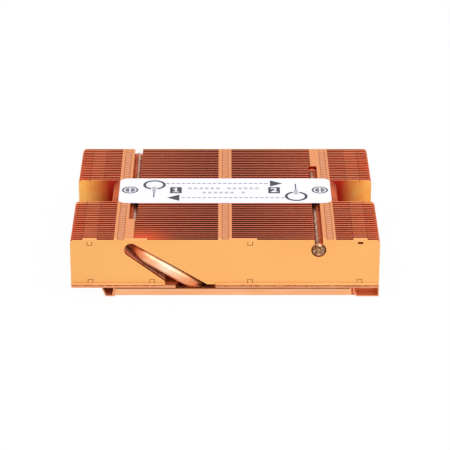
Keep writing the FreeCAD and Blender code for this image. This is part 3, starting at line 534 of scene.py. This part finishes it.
# Pressed sheet keeps a satin skin; the milled block is cleaner and brighter. Their marks are wide and faint.
plate_copper = streaked("pressed copper plate", "#F4A678", "#E4905E", (9.0, 9.0, 1.0), 0.35, 0.7)
block_copper = streaked("milled copper block", "#FFBE8C", "#F8AA78", (12.0, 12.0, 1.0), 0.35)
dress(plate_copper, "mounting_plate")
dress(block_copper, "base_block")


def both_ends(shape):
    """A shape at the front and its copy turned half round: the part is the same from the rear."""
    return [shape, shape * [-1, -1, 1]]


# Both the bend's fill and the window's film are painted red shade.
bend_fill = slab(pipe_low_x - BEND_SIDE, pipe_low_x + PIPE_RADIUS + BEND_SIDE,
                 stack_front + BEND_SET_BACK, stack_front + FILL_DEPTH, *BEND_HEIGHTS, FILL_CUT)
rings_piece("bend_red_shade", both_ends(bend_fill), painted_red_shade)
window_shade_film = slab(-WINDOW_SIDE + FILM_INSIDE, FILM_RIGHT, stack_front + FILM_SET_BACK,
                 stack_front + FILL_DEPTH, plate_top - FILM_SUNK, plate_top + FILM_PROUD, FILL_CUT)
rings_piece("window_red_shade", both_ends(window_shade_film), painted_red_shade)

# ---------------------------------------------------------------------------
# Fins' foot: the cover sheets are bent out to meet the plate, and the solder
# that joins fins and plate is squeezed out in a thin, uneven line.
# ---------------------------------------------------------------------------
# The mouth is where the pipe passes the cover sheet's foot: no solder and no bent foot stand there.
MOUTH = (-22.9, -3.7)
SOLDER_STEP = 0.5
SOLDER_INSET = 0.3
SOLDER_OVER = 0.02
SOLDER_UNDER = 0.1
SOLDER_PROUD = 0.05
FOOT_BEND = 0.2
FOOT_SUNK = 0.02
FOOT_BEHIND = 0.05
FOOT_INSET = 0.2
FOOT_FROM_MOUTH = 0.5


def foot_line(left, right, back, drop):
    """Solder squeezed out over the plate's edge, from back on its top to drop down its face.

    Both widen and narrow by one wander: 0.07 sin(2.1 x + 0.5) + 0.06 sin(5.3 x) + 0.05 sin(11.9 x + 2).
    """
    along = np.linspace(left, right, int((right - left) / SOLDER_STEP))
    wander = 0.07 * np.sin(2.1 * along + 0.5) + 0.06 * np.sin(5.3 * along) + 0.05 * np.sin(11.9 * along + 2.0)
    level = 0 * along
    inward = np.stack([back + wander, level - SOLDER_OVER, level - SOLDER_OVER, level + SOLDER_UNDER], 1)
    up = np.stack([level + SOLDER_PROUD, level + SOLDER_PROUD, -drop - wander, -drop - wander], 1)
    return np.stack([np.repeat(along[:, None], 4, 1), plate_front + inward, plate_top + up], -1)


def foot_fillet(left, right):
    """The cover sheet's foot, bent out to the plate: a slope of two to one."""
    low = plate_top - FOOT_SUNK
    near, far = stack_front - FOOT_BEND, stack_front + FOOT_BEHIND
    return carried([(near, low), (far, low), (far, plate_top + 2 * FOOT_BEND)], (left, right))


# Solder dulled by flux: brown specks, up to 1.6 mm long, on a copper-toned skin.
foot_solder = streaked("speckled solder and flux", "#CC9464", "#6A3010", (1.6, 0.8, 0.5), 0.5, 0.2)
outer_line = foot_line(-fin_half + SOLDER_INSET, MOUTH[0], back=0.4, drop=0.2)
inner_line = foot_line(MOUTH[1], fin_half - SOLDER_INSET, back=0.2, drop=0.45)
rings_piece("foot_solder_outer", both_ends(outer_line), foot_solder)
rings_piece("foot_solder_inner", both_ends(inner_line), foot_solder)

# The bent foot is rubbed where the stack stood on it, so it catches the light as a pale line.
foot_pale = streaked("cover sheet's rubbed foot", "#FFC080", "#F8B070", (9.0, 1.0, 1.0), 0.45)
inner_foot = foot_fillet(MOUTH[1] + FOOT_FROM_MOUTH, fin_half - FOOT_INSET)
outer_foot = foot_fillet(FOOT_INSET - fin_half, MOUTH[0])
rings_piece("cover_feet", both_ends(inner_foot) + both_ends(outer_foot), foot_pale)

# ---------------------------------------------------------------------------
# Braze: plate and block are joined in a furnace with braze foil, which closes the block's
# ends with plugs and wedges. Between them a dark line is painted shadow under the plate's edge.
# ---------------------------------------------------------------------------
# Plugs stand at the left of the front edge, where the line starts; wedges just past the block's right end.
END_DEPTH = 4.0
END_CUT = 0.1
END_FOOT = 0.05
PLUG_SIDES = (-42.0, -40.0)
PLUG_SET_BACK = 0.02
PLUG_TOP = 3.55
WEDGE_SIDES = (-0.3, 1.4)
WEDGE_SET_BACK = 0.05
WEDGE_TOP = 3.5
LINE_HEIGHTS = (2.75, 3.58)
LINE_PROUD = 0.06
LINE_SUNK = 0.2
LINE_SHORT_OF_BLOCK = 1.1

plug = slab(*PLUG_SIDES, block_front + PLUG_SET_BACK, block_front + END_DEPTH, END_FOOT, PLUG_TOP, END_CUT)
rings_piece("braze_plugs", both_ends(plug), block_copper)
# The wedges take the painted red shade.
wedge = slab(block_high[0] + WEDGE_SIDES[0], block_high[0] + WEDGE_SIDES[1], block_front + WEDGE_SET_BACK,
             block_front + END_DEPTH, END_FOOT, WEDGE_TOP, END_CUT)
rings_piece("braze_wedges", both_ends(wedge), painted_red_shade)

# The dark line under the plate's overhang is painted shadow, darker than the copper on both sides of it.
painted_shadow_dark = streaked("dark line, painted shadow under the plate", "#7A3C20", "#4A1E0E", (1.5, 1.0, 1.0), 0.5)
near, far = block_front - LINE_PROUD, block_front + LINE_SUNK
low, high = LINE_HEIGHTS
profile = [(near, low), (far, low), (far, high), (near, high)]
plate_shadow_line = carried(profile, (PLUG_SIDES[0], block_high[0] - LINE_SHORT_OF_BLOCK))
rings_piece("plate_shadow_line", both_ends(plate_shadow_line), painted_shadow_dark)

# ---------------------------------------------------------------------------
# Captive screws: turned steel, nickel-plated, with a rolled thread below the
# plate. Springs: round stainless wire with closed, ground end turns.
# ---------------------------------------------------------------------------
WIRE = 0.7
COIL_RADIUS = 2.45
TURNS = 5.5

# A coarse M4 thread: ridges on the solid's plain cylinder, between two heights over the screw's tip.
THREAD_RADIUS = 2.0
THREAD_PITCH = 0.7
THREAD_RIDGE = 0.16
THREAD_ENDS = (0.7, 2.85)


def even(name, color, roughness, metallic=0.0):
    """A material of one even colour."""
    material = finish(name, roughness, metallic)
    surface(material)["Base Color"].default_value = linear(color)
    return material


# Nickel plate is a warm, bright white metal; drawn stainless wire is a little greyer and duller.
screw_steel = even("nickel-plated steel", "#CFCBC4", 0.25, 1.0)
spring_steel = even("drawn stainless wire", "#B9B6B0", 0.3, 1.0)
dress(screw_steel, "left_screw", "right_screw")


def coil(middle, low, high):
    """Round wire wound on a cylinder: each end turn rises by one wire, and the turns between rise evenly."""
    turn = np.linspace(0, TURNS, int(TURNS * 36) + 1)
    travel = high - low - WIRE
    rise = np.interp(turn, [0, 1, TURNS - 1, TURNS], [0, WIRE, travel - WIRE, travel])
    angle = 2 * np.pi * turn[:, None]
    around = full_turn(12)
    out = COIL_RADIUS + WIRE / 2 * np.cos(around)
    up = (low + WIRE / 2 + rise)[:, None] + WIRE / 2 * np.sin(around)
    return np.stack([middle[0] + out * np.cos(angle), middle[1] + out * np.sin(angle), up], -1)


def thread(middle, low, high):
    """Rolled thread: r = R + h (0.5 + 0.5 cos(2 pi z / pitch - angle)), on a tube closed at both ends."""
    around = full_turn(36)
    up = np.linspace(low, high, 45)[:, None]
    ridge = 0.5 + 0.5 * np.cos(2 * np.pi * up / THREAD_PITCH - around)
    out = THREAD_RADIUS + THREAD_RIDGE * ridge
    return np.stack([middle[0] + out * np.cos(around), middle[1] + out * np.sin(around), up + 0 * around], -1)


for hand in ("left", "right"):
    screw, spring = hand + "_screw", hand + "_spring"
    tip, head = corners_of(screw)
    middle = (tip + head) / 2
    low, high = (corner[2] for corner in corners_of(spring))
    turns = [coil(middle, low, high)]
    wound = rings_piece(hand + "_wound_spring", turns, spring_steel, spring)
    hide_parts(spring)
    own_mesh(wound)
    rolled = thread(middle, tip[2] + THREAD_ENDS[0], tip[2] + THREAD_ENDS[1])
    rings_piece(hand + "_thread", [rolled], screw_steel, screw)

# ---------------------------------------------------------------------------
# Label: white polyester film with dark grey print, stuck over the strips.
# It shows how the two screws are driven: in turn, 1 then 2, and back again.
# ---------------------------------------------------------------------------
film_low, film_high = corners_of("label")
label_x, label_y = (film_low[:2] + film_high[:2]) / 2
label_half = (film_high[:2] - film_low[:2]) / 2

FILM_CORNER = 3.0
PRINT_THICK = 0.015

# All places are from the label's middle. A small ring at each end holds two facing half discs.
RING_X = 37.5
RING_Y = 0.5
RING_RADIUS = 2.9
RING_LINE = 0.7
HALF_GAP = 0.3
HALF_SIZE = (1.65, 1.9)

# A wide ring, open by twice the opening in degrees, and a screwdriver with its handle in that gap.
DRIVER_X = 28.0
OPEN_RING_Y = 5.5
OPEN_RING_RADIUS = 3.95
OPEN_RING_LINE = 1.1
OPENING = 18
BLADE_Y = 3.7
BLADE_HALF = (0.24, 2.9)
HANDLE_Y = -1.5
HANDLE_HALF = (0.85, 2.3)

# A dark box behind each digit, the digits, and the flag and foot of the 1.
BOX_X = 19.4
BOX_Y = 0.3
BOX_HALF = (2.3, 2.95)
DIGIT_SIZE = 5.4
DIGIT_SWELL = 0.16
FLAG = ((-1.2, 0.6), (-0.2, 1.1), (-0.2, 1.9), (-1.2, 1.3))
FOOT_Y = -1.7
FOOT_HALF = (1.2, 0.3)

# An arrow head each way, at the end of a dashed line.
ARROW_TIP = 22.8
ARROW_BASE = 17.9
ARROW_HALF = 2.95
DASH_Y = 6.9
DASH_GAP = 1.6
DASH_PITCH = 2.05
DASH_HALF = (0.7, 0.3)

# Two rows of small blocks, with one place in each row left empty.
WORD_ROWS = ({"y": 2.1, "start": -13.8, "places": 13}, {"y": -2.0, "start": -8.2, "places": 8})
WORD_PITCH = 2.2
WORD_GAP = 6
WORD_HALF = (0.7, 0.85)

print_low = film_high[2] - 2 * PRINT_THICK
digit_low = film_high[2] - PRINT_THICK

# Matt film is a cool white without a gleam. Its inks are flat: a dark grey, a middle one for thin lines,
# and a pale one for what is too small to read.
film_white = even("white polyester film", "#EEEEF8", 0.45)
ink_dark = even("dark grey ink", "#3A3A40", 0.6)
ink_middle = even("mid grey ink", "#6E6E76", 0.6)
ink_pale = even("pale grey ink", "#B8B8C2", 0.6)


def sheet_of(outline, low, high):
    """Rings of a flat shape: an outline of (x, y) points from the label's middle, at two heights."""
    outline = np.asarray(outline, float) + (label_x, label_y)
    return np.stack([np.column_stack([outline, np.full(len(outline), height)]) for height in (low, high)])


def rounded(half_x, half_y, radius):
    """Outline of a rectangle whose corners are quarter circles: corner's centre + r (cos a, sin a)."""
    turn = np.linspace(0, np.pi / 2, 9)
    corners = []
    for quarter, (sx, sy) in enumerate(((1, 1), (-1, 1), (-1, -1), (1, -1))):
        angle = turn + quarter * np.pi / 2
        centre = np.array([sx * (half_x - radius), sy * (half_y - radius)])
        corners.append(centre + radius * np.column_stack([np.cos(angle), np.sin(angle)]))
    return np.concatenate(corners)


def upright(x, y, half_x, half_y):
    """Outline of an upright rectangle."""
    left, right, near, far = x - half_x, x + half_x, y - half_y, y + half_y
    return [(left, near), (right, near), (right, far), (left, far)]


def half_disc(x, side):
    """One of the two facing halves inside a small ring: x = gap + a cos t, y = b sin t, over half a turn."""
    turn = np.radians(np.linspace(-90, 90, 11))
    out = HALF_GAP + HALF_SIZE[0] * np.cos(turn)
    return np.column_stack([x + side * out, RING_Y + HALF_SIZE[1] * np.sin(turn)])


def arc_band(centre, radius, width, start, end):
    """Flat band along an arc: a four-cornered section at r cos a, r sin a, with angles in degrees."""
    angle = np.radians(np.linspace(start, end, 40))[:, None]
    reach = radius + width / 2 * np.array([-1, 1, 1, -1])
    across = label_x + centre[0] + reach * np.cos(angle)
    along = label_y + centre[1] + reach * np.sin(angle)
    height = np.array([print_low, print_low, digit_low, digit_low]) + 0 * angle
    return np.stack([across, along, height], -1)


def printed(name, shapes, ink):
    """Flat printed shapes of one ink; those with the same number of corners share a piece."""
    for corners in sorted({len(shape) for shape in shapes}):
        alike = [sheet_of(shape, print_low, digit_low) for shape in shapes if len(shape) == corners]
        rings_piece("%s_%d" % (name, corners), alike, ink)


film_outline = rounded(*label_half, FILM_CORNER)
film = rings_piece("label_film", [sheet_of(film_outline, film_low[2], print_low)], film_white)
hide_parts("label")

dashes = np.arange(DASH_GAP - ARROW_BASE, ARROW_TIP, DASH_PITCH)
bands, dark_shapes, arrows, middle_shapes, pale_shapes = [], [], [], [], []
for side in (-1, 1):
    opening = side * 90
    bands.append(arc_band((side * RING_X, RING_Y), RING_RADIUS, RING_LINE, 0, 358))
    bands.append(arc_band((side * DRIVER_X, -side * OPEN_RING_Y), OPEN_RING_RADIUS, OPEN_RING_LINE,
                          opening + OPENING, opening + 360 - OPENING))
    dark_shapes.append(upright(side * BOX_X, BOX_Y, *BOX_HALF))
    dark_shapes.append(upright(side * DRIVER_X, side * BLADE_Y, *BLADE_HALF))
    pale_shapes.append(upright(side * DRIVER_X, side * HANDLE_Y, *HANDLE_HALF))
    arrows.append([(side * ARROW_BASE, side * DASH_Y - ARROW_HALF), (side * ARROW_TIP, side * DASH_Y),
                   (side * ARROW_BASE, side * DASH_Y + ARROW_HALF)])
    middle_shapes += [half_disc(side * RING_X, half) for half in (-1, 1)]
    middle_shapes += [upright(-side * x, side * DASH_Y, *DASH_HALF) for x in dashes]

# Plain pale blocks stand where words would be, with a gap between the two words of each row.
for row in WORD_ROWS:
    places = [place for place in range(row["places"]) if place != WORD_GAP]
    pale_shapes += [upright(row["start"] + WORD_PITCH * place, row["y"], *WORD_HALF) for place in places]

rings_piece("label_rings", bands, ink_dark)
printed("label_print", dark_shapes + arrows, ink_dark)
printed("label_dashes", middle_shapes, ink_middle)
printed("label_pale", pale_shapes, ink_pale)

for side, digit in ((-1, "1"), (1, "2")):
    words = bpy.data.curves.new("digit_" + digit, "FONT")
    words.body = digit
    words.size = DIGIT_SIZE * MM
    words.align_x = words.align_y = "CENTER"
    words.extrude = PRINT_THICK / 2 * MM
    words.offset = DIGIT_SWELL * MM
    text = placed("text_" + digit, words)
    mesh = bpy.data.meshes.new_from_object(text.evaluated_get(bpy.context.evaluated_depsgraph_get()))
    bpy.data.objects.remove(text)
    place = ((label_x + side * BOX_X) * MM, (label_y + BOX_Y) * MM, (digit_low + PRINT_THICK / 2) * MM)
    mesh.transform(Matrix.Translation(place))
    mesh.materials.clear()
    mesh.materials.append(film_white)
    item = placed("label_digit_" + digit, mesh)
    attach(item, "heatsink")

# The printed 1 has a flag and a foot, which the plain font leaves out.
flag = [(-BOX_X + x, BOX_Y + y) for x, y in FLAG]
foot = upright(-BOX_X, BOX_Y + FOOT_Y, *FOOT_HALF)
strokes = [sheet_of(shape, digit_low, film_high[2]) for shape in (foot, flag)]
rings_piece("label_digit_1_strokes", strokes, film_white)

# ---------------------------------------------------------------------------
# Floor, light and camera: a pale matt floor under soft, even studio light,
# seen from a little above through a long lens.
# ---------------------------------------------------------------------------
# The floor is a hair lower than the block, and the sky a little below full white on the part itself.
FLOOR_HALF = 4000.0
FLOOR_DROP = 0.1
FLOOR_WHITE = 0.97
SKY_STRENGTH = 0.95

# Lamp and camera: places and the lamp's side in metres, the tilt from straight down in degrees.
KEY_PLACE = (0.5, -0.9, 1.1)
KEY_AIM = (0, 0, 0.01)
KEY_SIDE = 0.8
KEY_WATTS = 7.0
CAMERA_PLACE = (0.0, -0.7966, 0.3806)
CAMERA_TILT = 64.99
CAMERA_LENS = 177.0
CAMERA_SENSOR = 36.0

bpy.context.scene.view_settings.view_transform = "Standard"


def backdrop_rays(material):
    """1 for a ray that looks at the backdrop straight, in a mirror or through glass, else 0."""
    ray = add(material, "LightPath").outputs
    seen = add(material, "Math", {0: ray["Is Camera Ray"], 1: ray["Is Glossy Ray"]}, operation="MAXIMUM")
    seen = add(material, "Math", {0: seen.outputs[0], 1: ray["Is Transmission Ray"]}, operation="MAXIMUM")
    return seen.outputs[0]


# Matt white: it keeps the part's shadow, and otherwise shows as plain white.
floor_pale = bpy.data.materials.new("pale floor")
floor_pale.use_nodes = True
floor_pale.node_tree.nodes.clear()
share = add(floor_pale, "Math", {0: backdrop_rays(floor_pale), 1: FLOOR_WHITE}, operation="MULTIPLY")
matte = add(floor_pale, "BsdfDiffuse", {"Color": linear("#F4F4F4")})
glow = add(floor_pale, "Emission", {"Color": linear("#FFFFFF"), "Strength": 1.0})
floor_mix = add(floor_pale, "MixShader", {"Fac": share.outputs[0], 1: matte.outputs[0], 2: glow.outputs[0]})
add(floor_pale, "OutputMaterial", {"Surface": floor_mix.outputs[0]})

floor_mesh = bpy.data.meshes.new("floor")
floor_corners = [(x * FLOOR_HALF * MM, y * FLOOR_HALF * MM, -FLOOR_DROP * MM)
                 for x, y in ((-1, -1), (1, -1), (1, 1), (-1, 1))]
floor_mesh.from_pydata(floor_corners, [], [(0, 1, 2, 3)])
floor_mesh.materials.append(floor_pale)
placed("floor", floor_mesh)

world = bpy.data.worlds.new("studio")
bpy.context.scene.world = world
world.use_nodes = True
world.node_tree.nodes.clear()
strength = add(world, "MapRange", {"Value": backdrop_rays(world), "To Min": SKY_STRENGTH, "To Max": 1.0})
sky = add(world, "Background", {"Color": linear("#FFFFFF"), "Strength": strength.outputs["Result"]})
add(world, "OutputWorld", {"Surface": sky.outputs[0]})

lamp = bpy.data.lights.new("key", "AREA")
lamp.size = KEY_SIDE
lamp.energy = KEY_WATTS
key = placed("key", lamp)
key.location = KEY_PLACE
key.rotation_euler = (Vector(KEY_AIM) - Vector(KEY_PLACE)).to_track_quat("-Z", "Y").to_euler()

camera_data = bpy.data.cameras.new("camera")
camera_data.sensor_width = CAMERA_SENSOR
camera_data.lens = CAMERA_LENS
camera = placed("camera", camera_data)
camera.location = CAMERA_PLACE
camera.rotation_euler = (math.radians(CAMERA_TILT), 0.0, 0.0)
bpy.context.scene.camera = camera
